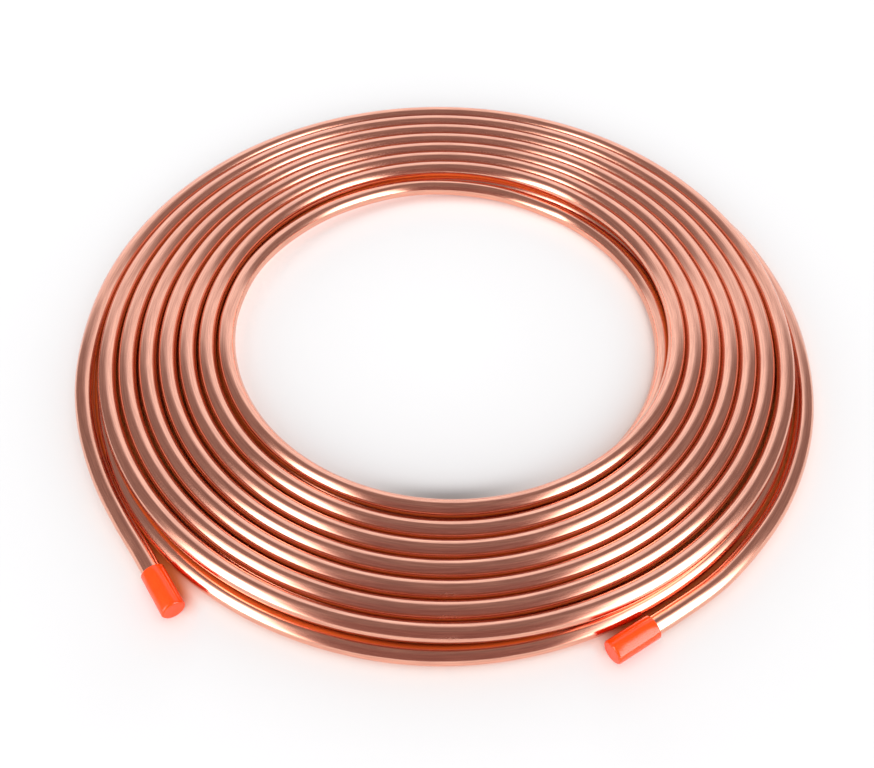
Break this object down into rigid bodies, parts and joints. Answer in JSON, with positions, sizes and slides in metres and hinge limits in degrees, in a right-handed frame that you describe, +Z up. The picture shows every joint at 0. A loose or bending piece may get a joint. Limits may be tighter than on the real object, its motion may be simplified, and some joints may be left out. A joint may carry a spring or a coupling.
{
  "type": "copper tube coil",
  "caption": "Flat two-layer coil of bare soft copper tube with an orange plastic cap on each end.",
  "frame": {"origin": "middle of the coil's outline seen from above, on the ground under the lower layer", "axes": "+Z up through the coil; -Y towards the side the two capped ends lie on, -X towards the end that comes off the upper layer"},
  "size_m": [0.4064, 0.3978, 0.019],
  "materials": {
    "copper": "bright drawn copper",
    "cap_orange": "soft satin plastic"
  },
  "bodies": {
    "root": {"copper_tube": "copper", "end_cap_left": "cap_orange", "end_cap_right": "cap_orange"}
  },
  "joints": []
}
